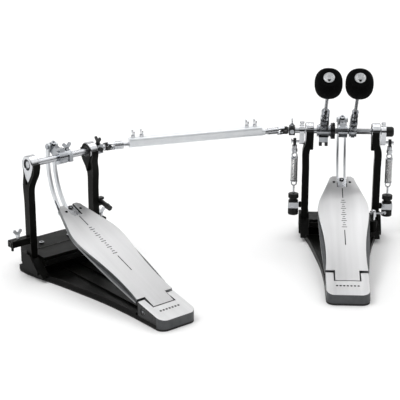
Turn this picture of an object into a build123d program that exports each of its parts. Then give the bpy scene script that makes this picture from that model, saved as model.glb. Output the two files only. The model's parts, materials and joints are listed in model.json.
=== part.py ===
"""Twin bass drum pedal: a main pedal, a second pedal and the drive shaft that joins them.

Millimetres, +Z up. The origin is on the floor under the middle of the main pedal's axle,
+X is the player's right and +Y points at the drum. The second pedal stands to the left,
turned about +Z. Every pedal piece is drawn once in a pedal's own frame and then placed.
"""
import os
from math import atan2, cos, degrees, radians, sin

from build123d import *

# ---------------------------------------------------------------- driving dimensions
AXLE_Z = 198.0                # axle height above the floor
POST_X = 64.2                 # centre of each post
POST_W, POST_D = 12.8, 14.6   # post section across and along the pedal
BEARING_X = 58.5              # centre of each bearing, set in from the post
HOUSING_IN, HOUSING_OUT = 51.4, 67.0  # bearing housing across the pedal
HOUSING_R = 15.2
HOUSING_TIP = 36.0            # how far the housing's point reaches below the axle
BEARING_OD, AXLE_D = 19.0, 10.0
HEX_AF = 9.0                  # main axle between the bearings, across its flats
SLAVE_AXLE_D = 11.0

SECOND_X, SECOND_Y = -480.8, -177.7   # second pedal's place on the floor
SECOND_TURN = 42.2                    # and its turn about +Z, degrees

MAT_T = 3.0                   # rubber floor mat
SHEET_TOP = 8.0               # top of the cast base sheet
BLOCK_TOP = 38.0              # top of the cast cross block between the posts
BLOCK_BACK, BLOCK_FRONT = 16.0, -25.0
BASE_BACK = 32.0              # drum-side end of the sheet
# half widths of the base along the pedal, from the posts to the heel
BASE_EDGE = [(71, 8), (66.5, -17), (57.5, -59), (50, -105), (42, -159), (38, -203), (36, -250)]
BASE_END = -306.0

PIN_Y, PIN_Z = -271.0, 18.5   # heel hinge pin
PIN_R = 3.0
BOARD_SLOPE = 19.24           # footboard at rest, degrees
BOARD_TOP = 10.9              # footboard's face above the hinge pin, square to the board
BOARD_T = 4.6                 # thickness of the upper plate
FLANGE_T = 3.4                # thickness of the wider lower plate
TONGUE_HALF, TONGUE_END = 19.9, -5.2
SHOULDER = 19.1               # where the board widens in front of the heel's ears
BOARD_TOE = 272.0             # hinge pin to the toe, along the board
NOTCH_HALF, NOTCH_BACK = 9.0, 241.0

HEEL_HALF, EAR_IN = 35.5, 22.2
HEEL_REAR, HEEL_FRONT = -320.0, -258.6
HEEL_TOP_REAR, HEEL_TOP_FRONT = 18.6, 32.0

CAM_Y, CAM_Z = 27.0, 13.0     # upper link pivot from the axle at rest
TOE_Y, TOE_Z = -5.0, 101.5    # lower link pivot at rest
LINK_X, LINK_T, LINK_D = 6.5, 4.0, 8.0
LINK_BULGE = 15.0             # how far the curved link arms bow towards the drum
LINK_PIN_R = 2.5
TOE_CLEARANCE = 1.8           # the open pivot's eye is this much larger in radius than its pin

BEATER_LEAN = 46.0            # degrees back from upright at rest
BEATER_REACH = 171.0          # axle to the middle of the head
MAIN_BEATER_X, DRIVEN_BEATER_X = 17.5, -34.0
HEAD_X, HEAD_STRIKE, HEAD_ALONG = 23.3, 27.0, 22.5
ROD_R = 3.0
HOLDER_TOP = 73.0

SPRING_X = 85.0
ROCKER_ARM = 20.0             # rocker pin below the axle
ROCKER_PIN_R = 2.5
HANGER_BORE = 4.2             # radius; it hangs on the pin with room to rock
HANGER_DROP = 1.3             # the hanger's centre below the pin's
SPRING_OD, SPRING_WIRE = 13.4, 1.9
COIL_BOTTOM, COIL_TOP = 104.0, 146.0
ANCHOR_Z = 57.5               # lower spring pivot
KNOB_R = 9.5

HOOP_Y, HOOP_Z = 27.0, 20.0   # hoop jaw's pivot
HOOP_SCREW = (60.0, -25.0)

ANCHORS = ((-1, 108, 91), (1, 87, 79))  # second pedal's anchor bars: side, end, wing bolt

JOINT_GAP = 108.0             # main pedal's universal joint from its middle
SECOND_JOINT = 100.0          # second pedal's
YOKE_R = 3.3
YOKE_IN, YOKE_OUT = 4.0, 7.0
CROSS_PIN_R = 1.5
RUN = 0.05                    # radial clearance of every running fit
HALF_STROKE = 22.5            # half of the beater's travel, degrees

TUBE_START, TUBE_END = 35.0, 278.0    # drive tube along the shaft from the second pedal
TUBE_HALF = 7.2
TUBE_LOW, TUBE_HIGH = -5.6, 11.6
WING_PLACES = (42.7, 57.8, 251.0, 266.0)

os.makedirs("parts", exist_ok=True)
second_pedal = Location((SECOND_X, SECOND_Y, 0), (0, 0, SECOND_TURN))
main_pedal = Location((0, 0, 0))
pedals = (main_pedal, second_pedal)


# ---------------------------------------------------------------- helpers
def save(name, shape):
    """Write one node."""
    export_step(shape, f"parts/{name}.step")


def group(*shapes):
    """Several separate solids in one node."""
    solids = []
    for shape in shapes:
        solids.extend(shape.solids())
    return Compound(children=solids)


def block(x, y, z):
    """A box from three (low, high) pairs."""
    size = [hi - lo for lo, hi in (x, y, z)]
    middle = [(hi + lo) / 2 for lo, hi in (x, y, z)]
    return Pos(*middle) * Box(*size)


def bar(start, end, radius):
    """A round bar between two points."""
    start, end = Vector(*start), Vector(*end)
    plane = Plane(origin=start, z_dir=end - start)
    return extrude(plane * Circle(radius), (end - start).length)


def across(sketch, x_low, x_high):
    """Extrude an outline drawn as (y, z) from x_low to x_high."""
    plane = Plane(origin=(x_low, 0, 0), x_dir=(0, 1, 0), z_dir=(1, 0, 0))
    return extrude(plane * sketch, x_high - x_low)


def disc(x_low, x_high, radius, y=0.0, z=0.0):
    """A round disc about an axis along X."""
    return across(Pos(y, z) * Circle(radius), x_low, x_high)


def hull(*circles):
    """The outline round several circles given as (y, z, radius)."""
    edges = ShapeList()
    for y, z, radius in circles:
        edges.extend((Pos(y, z) * Circle(radius)).edges())
    return make_hull(edges)


def mirrored_face(points, ends):
    """A face from a right-hand spline edge and its mirror, closed by straight ends."""
    right = Spline([(x, y) for x, y in points])
    left = Spline([(-x, y) for x, y in points])
    first, last = points[0], points[-1]
    path = [right, left]
    for (x, y), edge_y in ((first, ends[0]), (last, ends[1])):
        if abs(y - edge_y) > 1e-6:
            path.append(Line((x, y), (x, edge_y)))
            path.append(Line((-x, y), (-x, edge_y)))
        path.append(Line((x, edge_y), (-x, edge_y)))
    return make_face(Curve() + path)


def both_sides(shape):
    """The shape and its mirror image across the pedal."""
    return shape, mirror(shape, Plane.YZ)


def second_front_block():
    """Black bracket that closes the drum side of the second pedal's base."""
    top = block((-50, 50), (BLOCK_BACK, 66), (32, 39))
    wall = block((-50, 50), (60, 66), (MAT_T, 39))
    sides = [block(x, (BASE_BACK + 1, 66), (MAT_T, 39)) for x in ((-50, -44), (44, 50))]
    bracket = top + wall + sides[0] + sides[1]
    return fillet(bracket.edges().filter_by(Axis.Z).sort_by(Axis.Y)[-2:], 8)


def in_pedals(shape):
    """The same piece in both pedals."""
    return group(*[place * shape for place in pedals])


def wing_bolt(reach):
    """A wing bolt that stands on z = 0 with its stem reaching down."""
    stem = Pos(0, 0, -reach / 2 + 0.5) * Cylinder(2.2, reach + 1)
    boss = Pos(0, 0, 2) * Cylinder(3.6, 4)
    wings = hull((0, 3.4, 2.6), (5.4, 10, 3)) + hull((0, 3.4, 2.6), (-5.4, 10, 3))
    plate = Pos(0, 1.1, 0) * extrude(Plane.XZ * wings, 2.2)
    return stem + boss + plate


# ---------------------------------------------------------------- base, posts and bearings
def base_frame():
    """Cast base: a tapering sheet with a rim, a stepped cross block and two post sockets."""
    outline = mirrored_face(BASE_EDGE, (BASE_BACK, BASE_END))
    inner = mirrored_face([(x - 4.5, y) for x, y in BASE_EDGE[1:]], (-17, -254))
    sheet = extrude(Pos(0, 0, MAT_T) * outline, SHEET_TOP - MAT_T)
    rim = extrude(Pos(0, 0, MAT_T) * outline, SHEET_TOP - MAT_T + 4)
    rim = rim - extrude(Pos(0, 0, SHEET_TOP) * inner, 10)
    rim = rim - block((-80, 80), (BASE_END - 1, -254), (SHEET_TOP, 20))
    rim = rim - block((-EAR_IN, EAR_IN), (-256, -250), (SHEET_TOP, 20))
    step_profile = Polyline(
        (BLOCK_BACK, SHEET_TOP), (BLOCK_BACK, BLOCK_TOP), (BLOCK_FRONT, BLOCK_TOP),
        (BLOCK_FRONT, 34.5), (BLOCK_FRONT + 1.6, 34.5), (BLOCK_FRONT + 1.6, 33),
        (BLOCK_FRONT - 3, 33), (BLOCK_FRONT - 5, 25), (BLOCK_FRONT + 2, 21),
        (BLOCK_FRONT + 2, SHEET_TOP), close=True)
    step = across(make_face(step_profile), -56.5, 56.5)
    socket_profile = Polyline(
        (17, 12), (17, 41), (7.6, 41), (7.6, 30), (-7.6, 30), (-7.6, 34), (-12, 32),
        (-42, SHEET_TOP), (8, SHEET_TOP), close=True)
    socket = across(make_face(socket_profile), 56.5, 71.5)
    cheek_profile = Polyline((17, 12), (17, 41), (-6, 41), (-30, 18), (-30, 12), close=True)
    cheek = across(make_face(cheek_profile), POST_X + POST_W / 2 + 0.1, 74.5)
    well = block((POST_X - POST_W / 2, POST_X + POST_W / 2), (-POST_D / 2, POST_D / 2), (12, 60))
    boss = Pos(*HOOP_SCREW, 23) * Cylinder(7, 30)
    result = sheet + rim + step + boss
    for side in both_sides(socket + cheek):
        result = result + side
    for side in both_sides(well):
        result = result - side
    for rib_x in (-16.0, 16.0):
        result = result + block((rib_x - 1.5, rib_x + 1.5), (-245, BLOCK_FRONT + 4), (SHEET_TOP - 1, 11))
    return result - Pos(*HOOP_SCREW, 36) * Cylinder(3 + RUN, 24)


def post(side):
    """One curved post with a forked head; side is +1 for the right, -1 for the left."""
    half = POST_W / 2
    centre = [(POST_X, 124), (POST_X + 0.5, 146), (POST_X - 0.4, 164), (BEARING_X + 0.8, 180),
              (BEARING_X, 192)]
    outer = Spline([(x + half, z) for x, z in centre], tangents=[(0, 1), (0, 1)])
    inner = Spline([(x - half, z) for x, z in centre], tangents=[(0, 1), (0, 1)])
    bottom = Polyline((POST_X - half, 124), (POST_X - half, 12), (POST_X + half, 12), (POST_X + half, 124))
    top = Polyline((BEARING_X - half, 192), (BEARING_X - half, 214), (BEARING_X + half, 214),
                   (BEARING_X + half, 192))
    front_view = extrude(Plane.XZ * make_face(Curve() + [outer, inner, bottom, top]), 60, both=True)
    deep = POST_D / 2
    arm = HOUSING_R + 2.8
    side_edge = [(deep, 130), (deep + 0.4, 146), (deep + 2.2, 162), (arm - 4.2, 178), (arm, 195)]
    right = Spline([(y, z) for y, z in side_edge])
    left = Spline([(-y, z) for y, z in side_edge])
    rest = Polyline((deep, 130), (deep, 12), (-deep, 12), (-deep, 130))
    head = Polyline((arm, 195), (arm, AXLE_Z + 3), (-arm, AXLE_Z + 3), (-arm, 195))
    side_view = across(make_face(Curve() + [right, left, rest, head]), 40, 90)
    blank = front_view & side_view
    window = across(housing_outline(), BEARING_X - half - 2, BEARING_X + half + 10)
    blank = blank - window
    return blank if side > 0 else mirror(blank, Plane.YZ)


def housing_outline():
    """Round top with straight sides that run to a blunt point below the axle."""
    return hull((0, AXLE_Z, HOUSING_R), (0, AXLE_Z - HOUSING_TIP + 2, 2))


def bearing_housings():
    """The four bright bearing housings."""
    shell = across(housing_outline(), HOUSING_IN, HOUSING_OUT)
    shell = chamfer(shell.edges().filter_by(GeomType.CIRCLE).sort_by(Axis.Z)[-2:], 1.2)
    shell = shell - disc(BEARING_X - 10, BEARING_X + 10, BEARING_OD / 2, 0, AXLE_Z)
    return group(*[place * side for place in pedals for side in both_sides(shell)])


def ball_bearings():
    """Four bearings, with a larger bore in the second pedal."""
    rings = []
    for place, shaft in ((main_pedal, AXLE_D), (second_pedal, SLAVE_AXLE_D)):
        ring = disc(BEARING_X - 5.5, BEARING_X + 5.5, BEARING_OD / 2, 0, AXLE_Z)
        ring = ring - disc(BEARING_X - 10, BEARING_X + 10, shaft / 2 + RUN, 0, AXLE_Z)
        rings.extend(place * side for side in both_sides(ring))
    return group(*rings)


def heel_outline(front):
    """The heel from above, with its rounded rear corners."""
    middle = (HEEL_REAR + front) / 2
    outline = Pos(0, middle) * Rectangle(2 * HEEL_HALF, front - HEEL_REAR)
    return fillet(outline.vertices().sort_by(Axis.Y)[:2], 14)


def heel_plate():
    """Heel block: sloping top, rounded rear corners and two ears round the hinge."""
    side_profile = Polyline(
        (HEEL_FRONT, SHEET_TOP), (HEEL_FRONT, HEEL_TOP_FRONT), (HEEL_REAR, HEEL_TOP_REAR),
        (HEEL_REAR, MAT_T), (BASE_END, MAT_T), (BASE_END, SHEET_TOP), close=True)
    body = across(make_face(side_profile), -HEEL_HALF, HEEL_HALF)
    body = body & extrude(heel_outline(HEEL_FRONT), 60)
    body = body - block((-EAR_IN, EAR_IN), (PIN_Y - 10.6, -200), (SHEET_TOP + 1.2, 60))
    body = body - disc(-60, 60, PIN_R, PIN_Y, PIN_Z)
    for side in both_sides(disc(HEEL_HALF - 2, HEEL_HALF + 1, 5.2, PIN_Y, PIN_Z)):
        body = body - side
    return body


def hinge_pin():
    """Heel hinge pin with a plain head in each ear's recess."""
    pin = disc(-HEEL_HALF + 2, HEEL_HALF - 2, PIN_R, PIN_Y, PIN_Z)
    for side in both_sides(disc(HEEL_HALF - 2, HEEL_HALF - 0.6, 4.6, PIN_Y, PIN_Z)):
        pin = pin + side
    socket = extrude(Plane(origin=(HEEL_HALF, PIN_Y, PIN_Z), x_dir=(0, 1, 0), z_dir=(-1, 0, 0))
                     * RegularPolygon(2, 6), 3)
    for side in both_sides(socket):
        pin = pin - side
    return pin


def floor_mat():
    """Rubber sheet under the base and the heel."""
    outline = mirrored_face([(x - 0.5, y) for x, y in BASE_EDGE], (BASE_BACK - 0.5, BASE_END))
    mat = extrude(outline, MAT_T)
    return mat + extrude(heel_outline(BASE_END + 20), MAT_T)


def base_screws():
    """Two socket screws on the second pedal's bracket."""
    head = Cylinder(4.3, 3) - Pos(0, 0, 0.6) * extrude(RegularPolygon(2.3, 6), 3)
    return group(*[second_pedal * Pos(x, 32, 40.5) * head for x in (-25, 32)])


# ---------------------------------------------------------------- footboard and link
def board_place():
    """The footboard's own frame: hinge pin at the origin, +Y to the toe, +Z off its face."""
    return Location((0, PIN_Y, PIN_Z), (BOARD_SLOPE, 0, 0))


def footboard():
    """Waisted plate on a straighter lower flange, with a hinge tongue and a toe notch."""
    top_edge = [(35, SHOULDER), (33.6, 46), (33.9, 74), (38.6, 125), (44, 172), (42.6, 195),
                (36.6, 217), (30.6, 236), (24.4, 256), (21.4, 267)]
    low_edge = [(36.6, SHOULDER), (38.5, 45), (41, 77), (43.3, 127), (44.6, 172), (43, 195),
                (37, 217), (31, 236), (24.8, 256), (21.8, 267)]
    face_z = BOARD_TOP
    upper = mirrored_face(top_edge, (SHOULDER, BOARD_TOE))
    lower = mirrored_face(low_edge, (SHOULDER, BOARD_TOE))
    plate = extrude(Pos(0, 0, face_z - BOARD_T) * upper, BOARD_T)
    flange = extrude(Pos(0, 0, face_z - BOARD_T - FLANGE_T) * lower, FLANGE_T)
    tongue = block((-TONGUE_HALF, TONGUE_HALF), (TONGUE_END, SHOULDER + 2), (face_z - 8, face_z))
    barrel = disc(-TONGUE_HALF, TONGUE_HALF, 6.2)
    barrel = barrel + block((-TONGUE_HALF, TONGUE_HALF), (TONGUE_END, 6.2), (0, face_z - 2))
    board = plate + flange + tongue + barrel
    for corner in both_sides(Pos(21.4, BOARD_TOE, 0) * Rot(0, 0, 45) * Box(7, 7, 60)):
        board = board - corner
    board = board - block((-NOTCH_HALF, NOTCH_HALF), (NOTCH_BACK, 300), (-20, 20))
    board = board - disc(-60, 60, PIN_R + RUN)
    for x in (-14.2, 14.2):
        board = board - Pos(x, 255.4, 0) * Cylinder(1.8, 60)
    for start, end in ((83.4, 123), (210.2, 237.9)):
        board = board - block((-0.6, 0.6), (start, end), (face_z - 0.5, face_z + 1))
    return board


def link_slider():
    """Block bolted in the toe notch; its nose carries the lower link pivot."""
    place = board_place()
    toe = place.inverse() * Location((0, TOE_Y, TOE_Z))
    eye_y, eye_z = toe.position.Y, toe.position.Z
    face_z = BOARD_TOP
    plate = block((-7.6, 7.6), (NOTCH_BACK + 1.4, 270), (face_z - 8, face_z - 1.4))
    plate = plate + block((-15, 15), (NOTCH_BACK - 8, 262), (face_z - 11, face_z - 8))
    nose = hull((eye_y, eye_z, 6.6), (265, face_z - 6.6, 3.4), (256, face_z - 8.0, 3.2))
    nose = across(nose, -4.2, 4.2)
    hole = disc(-20, 20, LINK_PIN_R + TOE_CLEARANCE, eye_y, eye_z)
    bolt_ring = Pos(0, 264, face_z - 0.5) * (Cylinder(4.2, 1.8) - Cylinder(1.9, 4))
    bolt_core = Pos(0, 264, face_z - 0.8) * Cylinder(1.9, 1.2)
    return plate + (nose - hole) + bolt_ring + bolt_core


def link_arms():
    """Two curved flat arms with the pin through their lower ends."""
    top = Vector(CAM_Y, AXLE_Z + CAM_Z)
    low = Vector(TOE_Y, TOE_Z)
    chord = top - low
    out = Vector(chord.Y, -chord.X).normalized()
    middle = (top + low) * 0.5 + out * LINK_BULGE
    if middle.X < top.X * 0.5:
        middle = (top + low) * 0.5 - out * LINK_BULGE
    line = ThreePointArc((top.X, top.Y), (middle.X, middle.Y), (low.X, low.Y))
    strip = trace(line, LINK_D)
    eyes = Pos(top.X, top.Y) * Circle(6.2) + Pos(low.X, low.Y) * Circle(5.4)
    side = across(strip + eyes, LINK_X - LINK_T / 2, LINK_X + LINK_T / 2)
    side = side - disc(0, 20, LINK_PIN_R + RUN, top.X, top.Y)
    side = side - disc(0, 20, LINK_PIN_R, low.X, low.Y)
    pin = disc(-10.4, 10.4, LINK_PIN_R, low.X, low.Y)
    for head in both_sides(disc(LINK_X + LINK_T / 2, 11, 4.2, low.X, low.Y)):
        pin = pin + head
    return group(*both_sides(side), pin)


def drive_cam():
    """Crank on the axle: hub, arm, upper link pin and a clamp lug."""
    arm = across(hull((0, AXLE_Z, 11.5), (CAM_Y, AXLE_Z + CAM_Z, 6.4)), -4.3, 4.3)
    hub = disc(-8, 8, 11.5, 0, AXLE_Z)
    pin = disc(-9.6, 9.6, LINK_PIN_R, CAM_Y, AXLE_Z + CAM_Z)
    for head in both_sides(disc(8.7, 10.2, 4.4, CAM_Y, AXLE_Z + CAM_Z)):
        pin = pin + head
    lug = block((-5, 5), (-6, 4), (AXLE_Z + 8, AXLE_Z + 15.5))
    side_screw = disc(8, 11.4, 2.6, -3, AXLE_Z + 4)
    facing = Plane(origin=(0, CAM_Y - 3, AXLE_Z + CAM_Z + 3), z_dir=(0, -0.6, 0.8))
    cap = extrude(facing * Circle(4.1), 6.5)
    cap = cap - extrude(facing.offset(4.5) * RegularPolygon(2.4, 6), 6)
    return arm + hub + pin + lug + side_screw + cap


# ---------------------------------------------------------------- axles and beaters
def hex_bar(x_low, x_high):
    """The main axle's hexagon."""
    plane = Plane(origin=(x_low, 0, AXLE_Z), x_dir=(0, 1, 0), z_dir=(1, 0, 0))
    return extrude(plane * RegularPolygon(HEX_AF / 2, 6, major_radius=False), x_high - x_low)


def beater_place(x):
    """Frame of a beater: axle at the origin, +Z along its rod at rest."""
    return Location((x, 0, AXLE_Z), (BEATER_LEAN, 0, 0))


def beater_holder(width, hub_width):
    """Clamp on the axle with a long stem that takes the beater rod."""
    half = width / 2
    end = hub_width / 2
    hub = disc(-end + 3, end - 3, 12) + disc(-end, end, 9.4)
    for ring in both_sides(disc(end - 1.4, end, 10.8)):
        hub = hub + ring
    stem = block((-half + 0.8, half - 0.8), (-6, 6), (-8, 46))
    stem = stem + block((-half, half), (-6.6, 6.6), (17, 29)) + block((-half, half), (-6.6, 6.6), (34, 46))
    neck = Pos(0, 0, 48) * Cylinder(4.9, 6)
    collar = Pos(0, 0, 55) * Cylinder(half, 9) + Pos(0, 0, 61) * Cylinder(4.9, 4)
    crown = Pos(0, 0, HOLDER_TOP - 5) * Cylinder(half - 0.2, 10)
    screws = [Pos(0, -7.6, z) * Rot(90, 0, 0) * (Cylinder(3.4, 2.4) - Pos(0, 0, 1.2) * Box(5, 0.9, 1.2))
              for z in (23, 40)]
    column = hub + stem + neck + collar + crown + screws[0] + screws[1]
    return column - Pos(0, 0, 62) * Cylinder(ROD_R, 84)


def beater_rod():
    """Round steel rod from inside the holder to the top of the head."""
    low, high = 20.2, BEATER_REACH + HEAD_ALONG - 3
    return Pos(0, 0, (low + high) / 2) * Cylinder(ROD_R, high - low)


def beater_head():
    """Rounded felt head with slightly flattened sides, bored for the rod and flat under its cap."""
    outline = extrude(RectangleRounded(2 * HEAD_X, 2 * HEAD_STRIKE, 20), 60, both=True)
    egg = scale(Sphere(1.0), (HEAD_X + 1.8, HEAD_STRIKE + 1.8, HEAD_ALONG + 3.5)) & outline
    egg = egg - block((-40, 40), (-40, 40), (HEAD_ALONG - 3, 60))
    egg = egg - block((-40, 40), (-40, 40), (-60, -HEAD_ALONG))
    return Pos(0, 0, BEATER_REACH) * egg - Pos(0, 0, BEATER_REACH) * Cylinder(ROD_R, 80)


def beater_cap():
    """Bright disc on the top of the head with a three-cornered mark near its edge."""
    top = BEATER_REACH + HEAD_ALONG - 1
    cap = Pos(0, 0, top - 1) * Cylinder(9.6, 2)
    mark = Pos(0, -6.2, top - 1) * Rot(0, 0, -90) * extrude(RegularPolygon(2.7, 3), 3)
    return cap - mark


def main_axle():
    """Hexagon between the beaters and the right bearing, round at both ends."""
    middle = hex_bar(-13.4, 49)
    left_spigot = disc(-37, -13.4, 3, 0, AXLE_Z)
    right_end = disc(49, 82, AXLE_D / 2, 0, AXLE_Z)
    return middle + left_spigot + right_end


def driven_axle():
    """Round axle from the universal joint through the left bearing to the driven hub."""
    shaft = disc(-97.6, -19.9, AXLE_D / 2, 0, AXLE_Z)
    return shaft - disc(-38, -10, 3 + RUN, 0, AXLE_Z)


def spring_rocker(side):
    """Teardrop arm with the spring's pin at its lower end and a screw on its top."""
    outline = hull((0, AXLE_Z, 11), (0, AXLE_Z - ROCKER_ARM, 5.6))
    arm = across(outline, 68.5, 77)
    lug = block((70, 75.5), (-4.5, 4.5), (AXLE_Z + 8, AXLE_Z + 14))
    screw = Pos(72.7, 0, AXLE_Z + 15.2) * Cylinder(4.2, 2.6)
    pin = disc(77, 89.6, ROCKER_PIN_R, 0, AXLE_Z - ROCKER_ARM)
    head = disc(89.6, 91.4, 4.6, 0, AXLE_Z - ROCKER_ARM)
    bore = disc(60, 95, AXLE_D / 2, 0, AXLE_Z)
    rocker = arm + lug + screw + pin + head - bore
    return rocker if side > 0 else mirror(rocker, Plane.YZ)


def axle_end_cap():
    """Black round cap over the main axle's right end."""
    cap = disc(77, 91, 9, 0, AXLE_Z)
    cap = chamfer(cap.edges().filter_by(GeomType.CIRCLE).sort_by(Axis.X)[-1:], 2.5)
    return cap - disc(70, 82, AXLE_D / 2, 0, AXLE_Z)


def hub_disc():
    """Black lock disc beside the driven hub with a small side screw."""
    plate = disc(-21.4, -14, 14.5, 0, AXLE_Z) - disc(-21.9, -19.9, 11, 0, AXLE_Z)
    stick = bar((-17, -3, AXLE_Z + 12), (-17, -9, AXLE_Z + 16.5), 1.7)
    return (plate + stick) - disc(-40, -10, 3 + RUN, 0, AXLE_Z)


# ---------------------------------------------------------------- springs
def spring_coil(side):
    """Room of the coil: a closed tube with its hooks left to the neighbours."""
    middle = (COIL_BOTTOM + COIL_TOP) / 2
    coil = Cylinder(SPRING_OD / 2, COIL_TOP - COIL_BOTTOM)
    coil = coil - Cylinder(SPRING_OD / 2 - SPRING_WIRE, 80)
    return Pos(side * SPRING_X, 0, middle) * coil


def spring_hanger(side):
    """Swivel eye on the rocker pin, a short shank and the ring that holds the coil."""
    eye_z = AXLE_Z - ROCKER_ARM - HANGER_DROP
    eye = disc(SPRING_X - 2.6, SPRING_X + 2.6, 7.2, 0, eye_z)
    eye = eye - disc(SPRING_X - 5, SPRING_X + 5, HANGER_BORE, 0, eye_z)
    shank = Pos(SPRING_X, 0, 164) * Cylinder(4.2, 13.6)
    collar = Pos(SPRING_X, 0, 161.4) * Cylinder(5.4, 5)
    ring = Pos(SPRING_X, 0, 152.3) * Rot(90, 0, 0) * Torus(4.4, 1.1)
    foot = Pos(SPRING_X, 0, COIL_TOP + 0.7) * Cylinder(SPRING_OD / 2, 1.4)
    hanger = eye + shank + collar + ring + foot
    return hanger if side > 0 else mirror(hanger, Plane.YZ)


def spring_hook_rod(side):
    """Lower ring and threaded rod that the tension knobs ride on."""
    seat = Pos(SPRING_X, 0, COIL_BOTTOM - 0.7) * Cylinder(SPRING_OD / 2, 1.4)
    ring = Pos(SPRING_X, 0, 98.5) * Rot(90, 0, 0) * Torus(4.4, 1.1)
    rod = Pos(SPRING_X, 0, 66) * Cylinder(1.75, 56.6)
    hook_rod = seat + ring + rod
    return hook_rod if side > 0 else mirror(hook_rod, Plane.YZ)


def swivel_block(side):
    """Bright block that the rod passes through; it rocks on the post's stud."""
    body = block((SPRING_X - 9.5, SPRING_X + 9.5), (-7, 7), (ANCHOR_Z - 5.5, ANCHOR_Z + 5.5))
    body = body - Pos(SPRING_X, 0, ANCHOR_Z) * Cylinder(1.75, 40)
    body = body - disc(60, SPRING_X - 4.4, 3 + RUN, 0, ANCHOR_Z)
    return body if side > 0 else mirror(body, Plane.YZ)


def tension_knobs(side):
    """Fluted tension knob above the block and the lock knob below it."""
    upper = Pos(0, 0, ANCHOR_Z + 17) * Cylinder(KNOB_R, 8.4)
    upper = upper + Pos(0, 0, ANCHOR_Z + 11) * Cylinder(KNOB_R - 3, 4)
    upper = upper + Pos(0, 0, ANCHOR_Z + 7.4) * Cylinder(KNOB_R - 0.8, 3.6)
    lower = Pos(0, 0, ANCHOR_Z - 12.1) * Cylinder(KNOB_R, 12.6)
    knobs = group(*[knob - Cylinder(1.75, 300) for knob in (upper, lower)])
    return Pos(side * SPRING_X, 0, 0) * knobs


def spring_studs():
    """Studs on the outer face of each main post for the spring blocks."""
    stud = disc(POST_X + POST_W / 2, SPRING_X - 4.8, 3, 0, ANCHOR_Z)
    collar = disc(POST_X + POST_W / 2, SPRING_X - 9.9, 5.5, 0, ANCHOR_Z)
    return group(*both_sides(stud + collar))


# ---------------------------------------------------------------- hoop clamp
def hoop_bed():
    """Fixed tongue on the drum side of the base, under the drum's hoop."""
    bed = block((-26, 26), (BASE_BACK, 70), (MAT_T, 6))
    return fillet(bed.edges().filter_by(Axis.Z).sort_by(Axis.Y)[-2:], 8)


def hoop_pad():
    """Rubber pad on the fixed tongue."""
    return block((-22, 22), (44, 67), (6, 8))


def hoop_jaw():
    """Upper jaw on its pivot, sloping down over the hoop."""
    side_profile = Polyline(
        (HOOP_Y, HOOP_Z - 3), (HOOP_Y, HOOP_Z + 4.5), (40, HOOP_Z + 4.5), (69, HOOP_Z - 1),
        (69, HOOP_Z - 3), close=True)
    jaw = across(make_face(side_profile), -22, 22) + disc(-22, 22, 4.5, HOOP_Y, HOOP_Z)
    return jaw - disc(-40, 40, 2 + RUN, HOOP_Y, HOOP_Z)


def hoop_jaw_pad():
    """Rubber pad under the jaw."""
    return block((-20, 20), (46, 67), (HOOP_Z - 5.5, HOOP_Z - 3))


def hoop_pivot():
    """Two lugs on the base's drum side and the pin between them."""
    foot = SHEET_TOP + 5.5
    outline = hull((HOOP_Y, HOOP_Z, 4.5), (BLOCK_BACK + 1.5, HOOP_Z + 4, 1.5),
                   (BLOCK_BACK + 1.5, foot, 1.5), (HOOP_Y + 3, foot, 1.5))
    lug = across(outline, 22.5, 28)
    pin = disc(-28, 28, 2, HOOP_Y, HOOP_Z)
    return group((lug + mirror(lug, Plane.YZ)) + pin)


def hoop_screw():
    """Upright clamp screw beside the right post, with its bright cross handle."""
    x, y = HOOP_SCREW
    shaft = bar((x, y, BLOCK_TOP - 12), (x, y, BLOCK_TOP + 12), 3)
    boss = Pos(x, y, BLOCK_TOP + 12) * Cylinder(4.6, 9)
    lever = bar((x - 6, y, BLOCK_TOP + 13), (x + 19, y - 1, BLOCK_TOP + 15), 2)
    tip = Pos(x + 19, y - 1, BLOCK_TOP + 15) * Sphere(3)
    knob = Pos(x, y, BLOCK_TOP + 17) * Sphere(4)
    return shaft + boss + lever + tip + knob


# ---------------------------------------------------------------- second pedal's extras
def anchor_bars():
    """Black bars on the second pedal's posts that take the floor spurs."""
    bars = []
    for side, end, _ in ANCHORS:
        length = block((POST_X + POST_W / 2, end), (-6.5, 6.5), (61, 73))
        length = chamfer(length.edges().group_by(Axis.X)[-1], 2)
        whole = length + bar((end - 6, 0, 61.2), (end - 6, 0, 54), 2.2)
        bars.append(second_pedal * (whole if side > 0 else mirror(whole, Plane.YZ)))
    return group(*bars)


def anchor_wings():
    """Wing bolts on the two anchor bars."""
    bars = anchor_bars()
    bolts = []
    for side, _, x in ANCHORS:
        bolt = Pos(side * x, 0, 77) * wing_bolt(6)
        bolts.append(second_pedal * bolt - bars)
    return group(*bolts)


def tuning_tool():
    """Tool kept in its clip on the second pedal's right post."""
    handle = bar((75.5, 8, 107), (75.5, -23.4, 100.4), 4.2)
    ring = bar((75.5, -23.4, 100.4), (75.5, -26, 99.85), 5)
    tip = bar((75.5, -26, 99.85), (75.5, -33, 98.4), 4.6)
    return second_pedal * (handle + ring + tip)


def tool_clip():
    """Spring clip that holds the tool against the post."""
    clip = block((POST_X + POST_W / 2, 81.5), (-7, 1), (97, 111))
    clip = clip - bar((75.5, 8, 107), (75.5, -23.4, 100.4), 4.2)
    return second_pedal * (clip - block((78.5, 90), (-20, 20), (101, 107)))


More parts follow.
